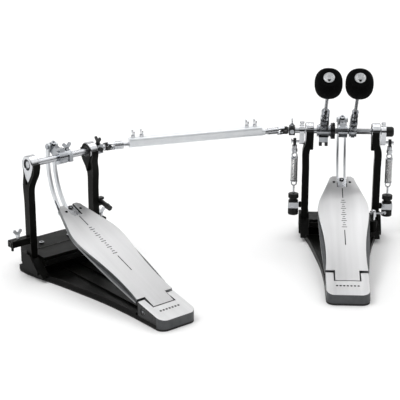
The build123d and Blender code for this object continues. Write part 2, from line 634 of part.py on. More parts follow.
# ---------------------------------------------------------------- universal joints and shaft
def fork(pin_axis, reach, hub_r):
    """Fork with its joint centre at the origin, hub towards -X, ears either side of pin_axis."""
    ears = []
    for sign in (-1, 1):
        tip = bar((0, sign * YOKE_IN, 0), (0, sign * YOKE_OUT, 0), YOKE_R)
        root = block((-9, 0), sorted((sign * YOKE_IN, sign * YOKE_OUT)), (-YOKE_R, YOKE_R))
        ears.append(tip + root)
    hub = disc(-reach, -8.5, hub_r)
    whole = ears[0] + ears[1] + hub
    whole = whole - bar((0, -10, 0), (0, 10, 0), CROSS_PIN_R + RUN)
    turn = degrees(atan2(pin_axis.Z, pin_axis.Y))
    return Rot(turn, 0, 0) * whole


def cross(first, second):
    """Spider with two crossed pins."""
    reach = YOKE_OUT - 0.2
    centre = bar(first * -3.4, first * 3.4, 3.2)
    pin = bar(first * -reach, first * reach, CROSS_PIN_R)
    return centre + pin + bar(second * -reach, second * reach, CROSS_PIN_R)


def wing_seat(x, top):
    """A wing bolt standing on the tube at x along the shaft."""
    return Pos(x, 0, top) * Rot(0, 0, 90) * wing_bolt(top - 3.1)


# drive shaft runs from the second pedal's joint to the main pedal's
joint_a = (second_pedal * Location((SECOND_JOINT, 0, AXLE_Z))).position
joint_b = Vector(-JOINT_GAP, 0, AXLE_Z)
shaft_length = (joint_b - joint_a).length
shaft_turn = degrees(atan2((joint_b - joint_a).Y, (joint_b - joint_a).X))
shaft_place = Location(joint_a, (0, 0, shaft_turn))

rest_pin = Vector(0, cos(radians(HALF_STROKE)), sin(radians(HALF_STROKE)))


def turned(vector, angle):
    """A vector turned about +Z."""
    return vector.rotate(Axis.Z, angle)


shaft_line = turned(Vector(1, 0, 0), shaft_turn)
pin_a = turned(rest_pin, SECOND_TURN)
pin_b = rest_pin
far_a = shaft_line.cross(pin_a).normalized()
far_b = shaft_line.cross(pin_b).normalized()


def shaft_forks():
    """The drive shaft's two forks with the rods that slide in the tube."""
    near = fork(turned(far_a, -shaft_turn), 14, 7)
    near = mirror(near, Plane.YZ)
    near_rod = disc(13.5, 24, 7.2) + disc(24, 78, 3.4)
    away = fork(turned(far_b, -shaft_turn), 28, 6)
    away_rod = disc(-95, -27.5, 4.6)
    start = near + near_rod
    finish = Pos(shaft_length, 0, 0) * (away + away_rod)
    return group(shaft_place * start, shaft_place * finish)


def shaft_tube():
    """Tube of rounded section, deeper above its bore where the wing bolts sit."""
    outline = RectangleRounded(2 * TUBE_HALF, TUBE_HIGH - TUBE_LOW, 5)
    tube = across(Pos(0, (TUBE_HIGH + TUBE_LOW) / 2) * outline, TUBE_START, TUBE_END)
    tube = tube + disc(TUBE_END - 2, TUBE_END + 6, 6.4)
    tube = tube - disc(0, 90, 3.4) - disc(200, 300, 4.6)
    for place in WING_PLACES:
        tube = tube - Pos(place, 0, 8) * Cylinder(2.2, 14)
    return shaft_place * tube


def shaft_wings():
    """Four wing bolts that lock the rods in the tube."""
    rods = disc(0, 90, 3.4) + disc(200, 300, 4.6)
    return group(*[shaft_place * (wing_seat(place, TUBE_HIGH) - rods) for place in WING_PLACES])


def joint_yoke(pin_axis, side):
    """Fork on a pedal's axle with its square clamp; side is +1 when it faces +X."""
    inner = SECOND_JOINT if side > 0 else JOINT_GAP
    yoke = fork(pin_axis, 11, 6.2)
    if side < 0:
        yoke = mirror(yoke, Plane.YZ)
    yoke = Pos(side * inner, 0, 0) * yoke
    return Pos(0, 0, AXLE_Z) * yoke


def clamp_block(x_low, x_high, bore):
    """Square clamp round an axle with a wing bolt above and a round screw in front."""
    body = block((x_low, x_high), (-7.5, 7.5), (AXLE_Z - 7, AXLE_Z + 8))
    middle = (x_low + x_high) / 2
    bolt = Pos(middle, 0, AXLE_Z + 8) * Rot(0, 0, 90) * wing_bolt(1)
    screw = bar((middle, -7.5, AXLE_Z), (middle, -10.5, AXLE_Z), 4)
    return (body + bolt + screw) - disc(x_low - 1, x_high + 1, bore, 0, AXLE_Z)


# ---------------------------------------------------------------- build every node
save("primary_base_frame", base_frame())
save("slave_base_frame", second_pedal * base_frame())
save("right_posts", in_pedals(post(1)))
save("left_posts", in_pedals(post(-1)))
save("bearing_housings", bearing_housings())
save("ball_bearings", ball_bearings())
save("heel_plates", in_pedals(heel_plate()))
save("hinge_pins", in_pedals(hinge_pin()))
save("floor_mats", in_pedals(floor_mat()))
save("base_screws", base_screws())
save("spring_anchor_studs", spring_studs())
save("hoop_clamp_bed", hoop_bed())
save("hoop_bed_pad", hoop_pad())
save("hoop_clamp_pivot", hoop_pivot())
save("hoop_clamp_jaw", hoop_jaw())
save("hoop_jaw_pad", hoop_jaw_pad())
save("hoop_clamp_screw", hoop_screw())
save("anchor_bars", anchor_bars())
save("anchor_wing_bolts", anchor_wings())
save("tuning_tool", group(tuning_tool(), tool_clip()))
save("slave_front_block", second_pedal * second_front_block())

for name, place in (("primary", main_pedal), ("slave", second_pedal)):
    save(f"{name}_footboard", place * board_place() * footboard())
    save(f"{name}_link_slider", place * board_place() * link_slider())
    save(f"{name}_link_arms", place * link_arms())

main_cam = drive_cam() - hex_bar(-20, 20)
save("primary_cam", main_cam)
save("primary_axle", main_axle())
save("driven_axle", driven_axle())
holder = beater_holder(12.4, 13)
save("primary_beater_holder", beater_place(MAIN_BEATER_X) * holder - hex_bar(5, 35))
driven_holder = beater_place(DRIVEN_BEATER_X) * beater_holder(15, 24.4)
skirt = block((-8, 8), (-5.5, 5.5), (-27, -4)) - block((-2.4, 2.4), (-9, 9), (-30, -20.5))
driven_holder = driven_holder + Pos(DRIVEN_BEATER_X, 0, AXLE_Z) * skirt
save("driven_beater_holder", driven_holder - disc(-60, -10, AXLE_D / 2, 0, AXLE_Z))
for name, x in (("primary", MAIN_BEATER_X), ("driven", DRIVEN_BEATER_X)):
    save(f"{name}_beater_rod", beater_place(x) * beater_rod())
    save(f"{name}_beater_head", beater_place(x) * beater_head())
    save(f"{name}_beater_cap", beater_place(x) * beater_cap())
save("driven_hub_disc", hub_disc())
save("primary_axle_end_cap", axle_end_cap())

for name, side in (("right", 1), ("left", -1)):
    save(f"{name}_spring_rocker", spring_rocker(side))
    save(f"{name}_spring_coil", spring_coil(side))
    save(f"{name}_spring_hanger", spring_hanger(side))
    save(f"{name}_spring_hook_rod", group(spring_hook_rod(side), swivel_block(side)))
    save(f"{name}_tension_knobs", tension_knobs(side))

slave_shaft = disc(-65.5, 92, SLAVE_AXLE_D / 2, 0, AXLE_Z)
save("slave_axle", second_pedal * slave_shaft)
collar = disc(8, 17.5, 11, 0, AXLE_Z) + Pos(12.7, 0, AXLE_Z + 10) * wing_bolt(2)
lug = block((9, 16), (-14, -8), (AXLE_Z - 7, AXLE_Z + 5))
slave_cam = drive_cam() + collar + lug - disc(-20, 20, SLAVE_AXLE_D / 2, 0, AXLE_Z)
save("slave_cam", second_pedal * slave_cam)
slave_clamp = clamp_block(71, 82, SLAVE_AXLE_D / 2)
slave_yoke = joint_yoke(rest_pin, 1)
save("slave_joint_yoke", second_pedal * group(slave_clamp, slave_yoke - slave_shaft))
driven_clamp = clamp_block(-96, -85, AXLE_D / 2)
driven_yoke = joint_yoke(rest_pin, -1)
save("driven_joint_yoke", group(driven_clamp, driven_yoke - disc(-97.6, -80, AXLE_D / 2, 0, AXLE_Z)))
save("slave_joint_cross", Location(joint_a) * cross(pin_a, far_a))
save("driven_joint_cross", Location(joint_b) * cross(pin_b, far_b))
save("drive_shaft_forks", shaft_forks())
save("drive_shaft_tube", shaft_tube())
save("drive_shaft_wing_bolts", shaft_wings())
print(f"drive shaft {shaft_length:.1f} long, turned {shaft_turn:.2f} degrees")
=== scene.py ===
"""Looks, light and camera for the twin bass drum pedal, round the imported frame."""
import json
from math import cos, pi, radians, sin

import bmesh
import bpy
from mathutils import Matrix, Vector, noise

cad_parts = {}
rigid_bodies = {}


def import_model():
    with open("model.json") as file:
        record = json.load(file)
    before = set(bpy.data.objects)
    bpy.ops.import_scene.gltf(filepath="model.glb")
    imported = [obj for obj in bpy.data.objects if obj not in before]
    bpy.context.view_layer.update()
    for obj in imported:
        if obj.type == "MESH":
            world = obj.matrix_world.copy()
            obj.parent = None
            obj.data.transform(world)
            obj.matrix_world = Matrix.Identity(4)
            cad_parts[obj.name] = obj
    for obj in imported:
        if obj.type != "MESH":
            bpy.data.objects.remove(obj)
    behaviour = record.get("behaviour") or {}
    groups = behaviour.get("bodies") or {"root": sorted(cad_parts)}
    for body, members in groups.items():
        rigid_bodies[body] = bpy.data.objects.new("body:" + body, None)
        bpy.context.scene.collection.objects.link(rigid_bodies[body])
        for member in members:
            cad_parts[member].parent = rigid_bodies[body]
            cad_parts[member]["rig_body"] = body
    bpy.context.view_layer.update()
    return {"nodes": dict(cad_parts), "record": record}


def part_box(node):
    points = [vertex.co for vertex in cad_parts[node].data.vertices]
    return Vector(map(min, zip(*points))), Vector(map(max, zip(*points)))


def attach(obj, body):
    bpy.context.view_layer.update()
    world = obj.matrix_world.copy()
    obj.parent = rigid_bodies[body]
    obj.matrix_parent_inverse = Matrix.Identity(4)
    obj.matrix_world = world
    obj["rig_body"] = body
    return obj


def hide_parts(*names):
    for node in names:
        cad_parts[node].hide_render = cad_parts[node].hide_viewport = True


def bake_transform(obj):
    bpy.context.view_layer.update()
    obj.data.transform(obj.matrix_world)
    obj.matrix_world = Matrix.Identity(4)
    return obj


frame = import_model()

# Where the pedals stand. Lengths are metres; a pedal's own frame has its axle along X.
SECOND_TURN = radians(42.2)
MAIN = Matrix.Identity(4)
SECOND = Matrix.Translation((-0.4808, -0.1777, 0)) @ Matrix.Rotation(SECOND_TURN, 4, "Z")
PEDALS = {"primary": MAIN, "slave": SECOND}
DIVIDE_X = -0.15
AXLE_Z = 0.198

# Beaters: x of each on the main axle, their lean at rest, axle to the head's middle.
BEATERS = {"primary": 0.0175, "driven": -0.034}
LEAN = radians(46)
HEAD_REACH = 0.171
HEAD_RADII = (0.0235, 0.0254, 0.0240)
HEAD_FULLNESS = 2.32
HEAD_BOTTOM, HEAD_TOP = -0.0222, 0.0196
CAP_SEAT = HEAD_REACH + 0.0195
# Beater holders: spans of the necks between the collars, and the height below which the holder is black;
# both take painted shade.
HOLDER_NECKS = ((0.0298, 0.0335), (0.0463, 0.0498), (0.0598, 0.0628))
SKIRT_SHADE_LINE = AXLE_Z - 0.0195

# Footboards and heels: hinge pin, slopes and the holes in the toe.
PIN = Vector((0, -0.271, 0.0185))
PIN_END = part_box("hinge_pins")[1][0]
PIN_SLOT_RADIUS = 0.0056
BOARD_SLOPE = radians(19.24)
BOARD_TOP = Matrix.Translation(PIN) @ Matrix.Rotation(BOARD_SLOPE, 4, "X") @ Matrix.Translation(
    (0, 0, 0.0109))
HEEL_TOP = Matrix.Translation((0, -0.295, 0.02406)) @ Matrix.Rotation(radians(12.31), 4, "X")
TOE_SCREW_X, TOE_SCREW_Y = 0.0142, 0.2554
MAIN_TOE_Y, SECOND_TOE_Y = -0.019, 0.172

# Bearing housings, the shaft's sleeve and the springs.
HOUSING_LIP = 0.0585
LIP_CUTS = [(place @ Vector((side * HOUSING_LIP, 0, AXLE_Z)), place.to_3x3() @ Vector((1, 0, 0)))
            for place in PEDALS.values() for side in (-1, 1)]
CUT_REACH = 0.05
SLEEVE_END = 0.0885
SPRINGS = {"right": 0.085, "left": -0.085}
COIL_LOW, COIL_HIGH = 0.1046, 0.1454
LOOP_RADIUS = 0.0046


# ---------------------------------------------------------------- materials
def new_material(name, color, metallic, roughness):
    """A principled material with its nodes, links, shader and object coordinates."""
    material = bpy.data.materials.new(name)
    material.use_nodes = True
    nodes, links = material.node_tree.nodes, material.node_tree.links
    shader = nodes["Principled BSDF"]
    shader.inputs["Base Color"].default_value = (*color, 1)
    shader.inputs["Metallic"].default_value = metallic
    shader.inputs["Roughness"].default_value = roughness
    place = nodes.new("ShaderNodeTexCoord").outputs["Object"]
    return material, nodes, links, shader, place


def stretched(nodes, links, place, scale, turn=0.0):
    """Coordinates turned about Z and then stretched."""
    spin = nodes.new("ShaderNodeVectorRotate")
    spin.rotation_type = "Z_AXIS"
    spin.inputs["Angle"].default_value = turn
    links.new(place, spin.inputs["Vector"])
    mapping = nodes.new("ShaderNodeMapping")
    mapping.inputs["Scale"].default_value = scale
    links.new(spin.outputs["Vector"], mapping.inputs["Vector"])
    return mapping.outputs["Vector"]


def noise_of(nodes, links, vector, scale, detail=4.0, rough=0.6):
    """Fractal noise, 0 to 1."""
    texture = nodes.new("ShaderNodeTexNoise")
    texture.inputs["Scale"].default_value = scale
    texture.inputs["Detail"].default_value = detail
    texture.inputs["Roughness"].default_value = rough
    links.new(vector, texture.inputs["Vector"])
    return texture.outputs["Fac"]


def ranged(nodes, links, value, low, high, source=(0.3, 0.7)):
    """A value moved from the source range to low..high."""
    node = nodes.new("ShaderNodeMapRange")
    node.inputs["From Min"].default_value = source[0]
    node.inputs["From Max"].default_value = source[1]
    node.inputs["To Min"].default_value = low
    node.inputs["To Max"].default_value = high
    links.new(value, node.inputs["Value"])
    return node.outputs["Result"]


def tinted(nodes, links, value, dark, light, source=(0.3, 0.7)):
    """A colour between dark and light."""
    ramp = nodes.new("ShaderNodeValToRGB")
    ramp.color_ramp.elements[0].position = source[0]
    ramp.color_ramp.elements[0].color = (*dark, 1)
    ramp.color_ramp.elements[1].position = source[1]
    ramp.color_ramp.elements[1].color = (*light, 1)
    links.new(value, ramp.inputs["Fac"])
    return ramp.outputs["Color"]


def bumped(nodes, links, shader, height, strength, distance):
    """Bump from a height."""
    bump = nodes.new("ShaderNodeBump")
    bump.inputs["Strength"].default_value = strength
    bump.inputs["Distance"].default_value = distance
    links.new(height, bump.inputs["Height"])
    links.new(bump.outputs["Normal"], shader.inputs["Normal"])


def brushed(name, dark, light, turn, toe_y, end_shade=(0.82, 0.72), rough=(0.3, 0.42)):
    """Aluminium brushed along the pedal: faint bands, fine lines, and painted shade that multiplies its
    tone by the end factors at heel and toe.
    """
    material, nodes, links, shader, place = new_material(name, light, 0.92, 0.36)
    wide = noise_of(nodes, links, stretched(nodes, links, place, (60, 2, 2), turn), 1, 3)
    fine = noise_of(nodes, links, stretched(nodes, links, place, (2600, 22, 22), turn), 1, 3)
    spread = nodes.new("ShaderNodeSeparateXYZ")
    links.new(stretched(nodes, links, place, (1, 1, 1), turn), spread.inputs["Vector"])
    shade = nodes.new("ShaderNodeMix")
    shade.data_type = "RGBA"
    shade.blend_type = "MULTIPLY"
    shade.inputs["Factor"].default_value = 1.0
    links.new(tinted(nodes, links, wide, dark, light), shade.inputs["A"])
    both = nodes.new("ShaderNodeMath")
    both.operation = "MULTIPLY"
    # Painted shade: the tone falls off towards the toe and towards the heel.
    toe_shade = ranged(nodes, links, spread.outputs["Y"], 1.0, end_shade[1], (toe_y - 0.10, toe_y))
    heel_shade = ranged(nodes, links, spread.outputs["Y"], end_shade[0], 1.0, (toe_y - 0.25, toe_y - 0.12))
    links.new(toe_shade, both.inputs[0])
    links.new(heel_shade, both.inputs[1])
    links.new(both.outputs["Value"], shade.inputs["B"])
    links.new(shade.outputs["Result"], shader.inputs["Base Color"])
    links.new(ranged(nodes, links, fine, *rough), shader.inputs["Roughness"])
    bumped(nodes, links, shader, fine, 0.28, 0.00006)
    return material


def plated(name, dark, light, rough, grain=900.0, bump=0.12, metallic=1.0):
    """Polished or satin metal with handling smears and a fine grain."""
    material, nodes, links, shader, place = new_material(name, light, metallic, rough[0])
    smear = noise_of(nodes, links, place, 55, 4)
    grainy = noise_of(nodes, links, place, grain, 3)
    links.new(tinted(nodes, links, smear, dark, light), shader.inputs["Base Color"])
    links.new(ranged(nodes, links, smear, *rough), shader.inputs["Roughness"])
    bumped(nodes, links, shader, grainy, bump, 0.00005)
    return material


def enamelled(name, dark, light, rough, coat=0.3, gloss=0.3):
    """Black enamel or moulded plastic with an orange-peel skin and paler rubbed patches."""
    material, nodes, links, shader, place = new_material(name, dark, 0.0, rough[0])
    shader.inputs["Specular IOR Level"].default_value = gloss
    shader.inputs["Coat Weight"].default_value = coat
    shader.inputs["Coat Roughness"].default_value = 0.25
    patch = noise_of(nodes, links, place, 45, 6)
    peel = noise_of(nodes, links, place, 1500, 2)
    links.new(tinted(nodes, links, patch, dark, light, (0.35, 0.8)), shader.inputs["Base Color"])
    links.new(ranged(nodes, links, patch, *rough), shader.inputs["Roughness"])
    bumped(nodes, links, shader, peel, 0.25, 0.00008)
    return material


def felted(name):
    """Dense black felt: matted fibres with a soft sheen."""
    material, nodes, links, shader, place = new_material(name, (0.002, 0.002, 0.002), 0, 0.95)
    shader.inputs["Sheen Weight"].default_value = 0.02
    shader.inputs["Sheen Roughness"].default_value = 0.5
    shader.inputs["Specular IOR Level"].default_value = 0.03
    tuft = noise_of(nodes, links, place, 420, 6, 0.7)
    fibre = noise_of(nodes, links, place, 2600, 4, 0.75)
    links.new(tinted(nodes, links, tuft, (0.0005, 0.0005, 0.0006), (0.005, 0.005, 0.0052)),
              shader.inputs["Base Color"])
    bumped(nodes, links, shader, fibre, 0.7, 0.0003)
    return material


def rubbery(name):
    """Matt rubber with a dusty mottle."""
    material, nodes, links, shader, place = new_material(name, (0.012, 0.012, 0.012), 0, 0.85)
    mottle = noise_of(nodes, links, place, 260, 5)
    links.new(tinted(nodes, links, mottle, (0.008, 0.008, 0.008), (0.022, 0.022, 0.022)),
              shader.inputs["Base Color"])
    links.new(ranged(nodes, links, mottle, 0.75, 0.95), shader.inputs["Roughness"])
    bumped(nodes, links, shader, mottle, 0.3, 0.0002)
    return material


FACE_DARK, FACE_LIGHT = (0.50, 0.50, 0.505), (0.57, 0.57, 0.575)
HEEL_DARK, HEEL_LIGHT = (0.60, 0.60, 0.605), (0.70, 0.70, 0.705)
top_main = brushed("board_top_main", FACE_DARK, FACE_LIGHT, 0, MAIN_TOE_Y)
top_second = brushed("board_top_second", FACE_DARK, FACE_LIGHT, -SECOND_TURN, SECOND_TOE_Y)
heel_main = brushed("heel_top_main", HEEL_DARK, HEEL_LIGHT, 0, MAIN_TOE_Y, (1.0, 1.0))
heel_second = brushed("heel_top_second", HEEL_DARK, HEEL_LIGHT, -SECOND_TURN, SECOND_TOE_Y,
                      (1.0, 1.0))
flange_grey = plated("flange_grey", (0.19, 0.195, 0.2), (0.27, 0.275, 0.28), (0.4, 0.52), 1500)
# Dark grey for the heels' sides; on the boards' lower ledge it is painted shade.
heel_grey_and_ledge_shade = plated("heel_grey_and_ledge_shade", (0.07, 0.072, 0.075), (0.11, 0.113, 0.116), (0.4, 0.52), 1500)
# Black for engravings, marks and the toe screws; on the boards' screw-hole and notch walls it is painted
# shade.
engraving_and_hole_shade = enamelled("engraving_and_hole_shade", (0.008, 0.008, 0.008), (0.02, 0.02, 0.02), (0.6, 0.8), 0, 0.1)
chrome = plated("chrome", (0.46, 0.47, 0.49), (0.66, 0.67, 0.69), (0.06, 0.14))
cast_steel = plated("cast_steel", (0.22, 0.23, 0.25), (0.42, 0.435, 0.455), (0.12, 0.22))
satin = plated("satin_nickel", (0.40, 0.41, 0.43), (0.56, 0.57, 0.59), (0.2, 0.32))
steel = plated("ground_steel", (0.26, 0.27, 0.28), (0.42, 0.43, 0.45), (0.16, 0.28))
spring_steel = plated("spring_steel", (0.5, 0.5, 0.5), (0.74, 0.74, 0.74), (0.1, 0.18))
tube_silver = plated("tube_silver", (0.76, 0.785, 0.81), (0.84, 0.86, 0.88), (0.28, 0.38), 1800,
                     0.12, 0.38)
cap_metal = plated("cap_metal", (0.30, 0.31, 0.32), (0.72, 0.73, 0.74), (0.2, 0.4), 420, 0.5, 0.85)
link_silver = plated("link_silver", (0.58, 0.60, 0.62), (0.70, 0.72, 0.74), (0.28, 0.38), 1500,
                     0.12, 0.75)
black_metal = enamelled("black_metal", (0.0015, 0.0015, 0.0013), (0.005, 0.005, 0.0042),
                        (0.3, 0.45), 0, 0.07)
# Lighter enamel for the bevels of black parts: worn paint, and a painted highlight along the edges.
edge_wear_and_highlight = enamelled("edge_wear_and_highlight", (0.015, 0.015, 0.013), (0.075, 0.075, 0.07), (0.22, 0.32), 0, 0.5)
# Black oxide for blackened parts; on holder necks and lower edges, cam lower edges and inside heel slots
# and recesses it is painted shade.
black_oxide_and_shade = enamelled("black_oxide_and_shade", (0.004, 0.004, 0.0045), (0.011, 0.011, 0.012), (0.22, 0.36),
                        0.15, 0.25)
black_plastic = enamelled("black_plastic", (0.005, 0.005, 0.005), (0.012, 0.012, 0.012), (0.35, 0.5),
                          0.05, 0.2)
felt = felted("black_felt")
rubber = rubbery("mat_rubber")


# ---------------------------------------------------------------- mesh helpers
def add_piece(name, build, material, body, slot, nodes=(), sharp=35.0, turn_out=True):
    """A mesh object from a bmesh, shaded smooth but for edges sharper than sharp degrees.

    turn_out works the face directions out again; without it the bmesh's own are kept.
    """
    if turn_out:
        bmesh.ops.recalc_face_normals(build, faces=build.faces)
    for face in build.faces:
        face.smooth = True
    for edge in build.edges:
        edge.smooth = len(edge.link_faces) < 2 or edge.calc_face_angle(0) < radians(sharp)
    mesh = bpy.data.meshes.new(name)
    build.to_mesh(mesh)
    build.free()
    for item in (material if isinstance(material, (list, tuple)) else [material]):
        mesh.materials.append(item)
    piece = bpy.data.objects.new(name, mesh)
    bpy.context.scene.collection.objects.link(piece)
    if body:
        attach(piece, body)
    if nodes:
        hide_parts(*nodes)
    return piece


def body_of(node):
    """The body that a CAD node rides on."""
    return frame["nodes"][node]["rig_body"]


def slot_of(node):
    """The material slot that the record gives a node."""
    return next(row["material_slot"] for row in frame["record"]["subparts"] if row["node"] == node)


def refined(node, material, width=0.00035, choose=None, cuts=()):
    """A copy of a CAD node with its flat faces joined and its edges rounded.

    choose picks a face's material. cuts are planes (point, normal) that split the faces near
    their point, so that choose can tell the two sides apart.
    """
    build = bmesh.new()
    build.from_mesh(frame["nodes"][node].data)
    bmesh.ops.remove_doubles(build, verts=build.verts, dist=1e-6)
    bmesh.ops.dissolve_limit(build, angle_limit=radians(0.6), verts=build.verts, edges=build.edges)
    for point, normal in cuts:
        near = [face for face in build.faces
                if (face.calc_center_median() - point).length < CUT_REACH]
        rims = {item for face in near for item in (*face.edges, *face.verts)}
        bmesh.ops.bisect_plane(build, geom=near + list(rims), plane_co=point, plane_no=normal)
    for face in build.faces:
        face.material_index = choose(face) if choose else 0
    piece = add_piece(node + "_fine", build, material, body_of(node), slot_of(node), [node], 24,
                      False)
    bevel = piece.modifiers.new("edges", "BEVEL")
    bevel.width = width
    bevel.segments = 2
    bevel.limit_method = "ANGLE"
    bevel.angle_limit = radians(30)
    bevel.harden_normals = True
    return piece


def place_verts(build, place):
    """Move everything in a bmesh."""
    bmesh.ops.transform(build, matrix=place, verts=build.verts)
    return build


def lathe(profile, steps=48, flutes=0, depth=0.0):
    """A turned piece about Z from (radius, z) points; flutes press grooves into its outer wall."""
    build = bmesh.new()
    rings = []
    widest = max(r for r, z in profile)
    for r, z in profile:
        ring = []
        for i in range(steps):
            a = 2 * pi * i / steps
            cut = depth * (0.5 - 0.5 * cos(flutes * a)) if flutes and r > 0.8 * widest else 0
            ring.append(build.verts.new(((r - cut) * cos(a), (r - cut) * sin(a), z)))
        rings.append(ring)
    for low, high in zip(rings, rings[1:]):
        for i in range(steps):
            j = (i + 1) % steps
            build.faces.new((low[i], low[j], high[j], high[i]))
    build.faces.new(list(reversed(rings[0])))
    build.faces.new(rings[-1])
    return build


def sweep(points, radius, sides=10):
    """A round wire along points."""
    build = bmesh.new()
    points = [Vector(p) for p in points]
    tangent = (points[1] - points[0]).normalized()
    normal = tangent.orthogonal().normalized()
    first = last = None
    for k, point in enumerate(points):
        ahead = points[min(k + 1, len(points) - 1)] - points[max(k - 1, 0)]
        tangent = ahead.normalized()
        normal = (normal - tangent * normal.dot(tangent)).normalized()
        side = tangent.cross(normal)
        ring = []
        for i in range(sides):
            a = 2 * pi * i / sides
            ring.append(build.verts.new(point + normal * radius * cos(a) + side * radius * sin(a)))
        if last:
            for i in range(sides):
                j = (i + 1) % sides
                build.faces.new((last[i], last[j], ring[j], ring[i]))
        else:
            first = ring
        last = ring
    build.faces.new(list(reversed(first)))
    build.faces.new(last)
    return build


def joined(*parts):
    """Several bmeshes in one."""
    whole = bmesh.new()
    for part in parts:
        mesh = bpy.data.meshes.new("part")
        part.to_mesh(mesh)
        part.free()
        whole.from_mesh(mesh)
        bpy.data.meshes.remove(mesh)
    return whole


# ---------------------------------------------------------------- CAD nodes with finer edges
def board_faces(place):
    """A board's brushed face, grey sides, a black slot, painted shade in black on the walls of its screw
    holes and toe notch, and painted shade in dark grey on the ledge of its lower plate.
    """
    local = (place @ BOARD_TOP).inverted()
    turn = local.to_3x3()

    def choose(face):
        centre = local @ face.calc_center_median()
        up = (turn @ face.normal).z
        in_hole = abs(abs(centre.x) - TOE_SCREW_X) < 0.0021 and abs(centre.y - TOE_SCREW_Y) < 0.0025
        in_notch = abs(centre.x) < 0.0092 and centre.y > 0.2405
        in_slot = abs(centre.x) < 0.0008 and -0.0007 < centre.z < -0.00004
        wall = abs(up) < 0.5
        # Painted shade: the walls of the toe-screw holes and of the toe notch are black.
        if (wall and (in_hole or in_notch)) or in_slot:
            return 2
        if up < 0.93:
            return 1
        # Painted shade: up-facing faces of the lower plate, under the top plate's edge, are dark grey.
        return 3 if centre.z < -0.003 else 0
    return choose


def slider_faces(place):
    """Bright plate and bolt core, black everywhere else."""
    local = (place @ BOARD_TOP).inverted()
    turn = local.to_3x3()

    def choose(face):
        centre = local @ face.calc_center_median()
        ring = centre.z > 0.0002
        return 1 if (turn @ face.normal).z < 0.9 or centre.z < -0.003 or ring else 0
    return choose


def holder_faces(x):
    """Chrome, with painted shade in black on the necks between the collars and on the lower edge."""
    local = (Matrix.Translation((x, 0, AXLE_Z)) @ Matrix.Rotation(LEAN, 4, "X")).inverted()

    def choose(face):
        centre = face.calc_center_median()
        z = (local @ centre).z
        neck = any(low < z < high for low, high in HOLDER_NECKS)
        # Painted shade: necks and everything below the skirt line are black.
        return 1 if neck or centre.z < SKIRT_SHADE_LINE else 0
    return choose


def cam_faces(place):
    """Bright cam with a black cap screw, and painted shade in black on its lower edge."""
    local = place.inverted()

    def choose(face):
        centre = local @ face.calc_center_median()
        normal = local.to_3x3() @ face.normal
        cap = 0.0125 < centre.y < 0.0265 and centre.z > AXLE_Z + 0.0165 and abs(centre.x) < 0.0043
        wall = abs(normal.x) < 0.99 and abs(normal.dot(Vector((0, -0.6, 0.8)))) < 0.9
        # Painted shade: faces low on the cam are black.
        return 1 if (cap and wall) or centre.z < AXLE_Z - 0.0095 else 0
    return choose


def nearest_place(point):
    """Which pedal a point belongs to."""
    return MAIN if point.x > DIVIDE_X else SECOND


def pin_faces(face):
    """Black head round the hinge pin's bright socket."""
    centre = face.calc_center_median()
    local = nearest_place(centre).inverted() @ centre
    return 1 if abs(local.x) > PIN_END - 0.0003 else 0


def bearing_faces(face):
    """Black seals on both sides of each bearing."""
    turn = nearest_place(face.calc_center_median()).inverted().to_3x3()
    return 1 if abs((turn @ face.normal).x) > 0.95 else 0


def heel_faces(face):
    """Each heel's brushed top and grey sides, with painted shade in black inside the hinge's slot and
    recesses.
    """
    centre = face.calc_center_median()
    local = nearest_place(centre).inverted() @ centre
    # Painted shade: faces inside the hinge's slot, and up-facing faces low on the plate, are black.
    if (local - Vector((local.x, PIN.y, PIN.z))).length < PIN_SLOT_RADIUS:
        return 2
    if face.normal.z < 0.9:
        return 1
    if centre.z < 0.016:
        return 2
    return 0 if centre.x > DIVIDE_X else 3


def housing_faces(face):
    """Bright ring and outer cheek; black side and lip towards the footboard, like the post."""
    centre = face.calc_center_median()
    local = nearest_place(centre).inverted()
    across = (local @ centre).x
    inward = -(local.to_3x3() @ face.normal).x * across > 0.95 * abs(across)
    lip = abs(across) < HOUSING_LIP and centre.z < AXLE_Z - 0.0125
    return 1 if inward or lip else 0


def clamp_faces(face):
    """Black clamp and fork with a bright wing bolt and front screw."""
    centre = face.calc_center_median()
    bolt = centre.z > AXLE_Z + 0.0081 or (centre.y < -0.0076 and -0.096 < centre.x < -0.085)
    return 1 if bolt else 0


def sleeve_faces(face):
    """Bright sleeve on the second pedal's axle; its wing bolt, screw and fork are black."""
    centre = face.calc_center_median()
    local = SECOND.inverted() @ centre
    inside = abs(local.y) < 0.0076 and abs(local.z - AXLE_Z) < 0.0081
    return 1 if inside and local.x < SLEEVE_END else 0


def hanger_faces(face):
    """Black eye over a bright shank."""
    return 1 if face.calc_center_median().z > 0.1685 else 0


for name, place, top in (("primary", MAIN, top_main), ("slave", SECOND, top_second)):
    refined(f"{name}_footboard", [top, flange_grey, engraving_and_hole_shade, heel_grey_and_ledge_shade], 0.0005,
            board_faces(place))
    refined(f"{name}_link_slider", [satin, black_oxide_and_shade], 0.0003, slider_faces(place))
    refined(f"{name}_cam", [cast_steel, black_oxide_and_shade], 0.0004, cam_faces(place))
    refined(f"{name}_link_arms", link_silver, 0.0006)
for name, x in BEATERS.items():
    refined(f"{name}_beater_holder", [cast_steel, black_oxide_and_shade], 0.0004, holder_faces(x),
            [(Vector((x, 0, SKIRT_SHADE_LINE)), (0, 0, 1))])
for side in ("right", "left"):
    refined(f"{side}_spring_hanger", [satin, black_oxide_and_shade], 0.0003, hanger_faces)
refined("bearing_housings", [chrome, black_metal], 0.00045, housing_faces, LIP_CUTS)
refined("hinge_pins", [link_silver, black_oxide_and_shade], 0.0003, pin_faces)
refined("ball_bearings", [steel, black_oxide_and_shade], 0.0003, bearing_faces)
refined("driven_joint_yoke", [black_oxide_and_shade, cast_steel], 0.00035, clamp_faces)
refined("heel_plates", [heel_main, heel_grey_and_ledge_shade, black_oxide_and_shade, heel_second], 0.0007, heel_faces)
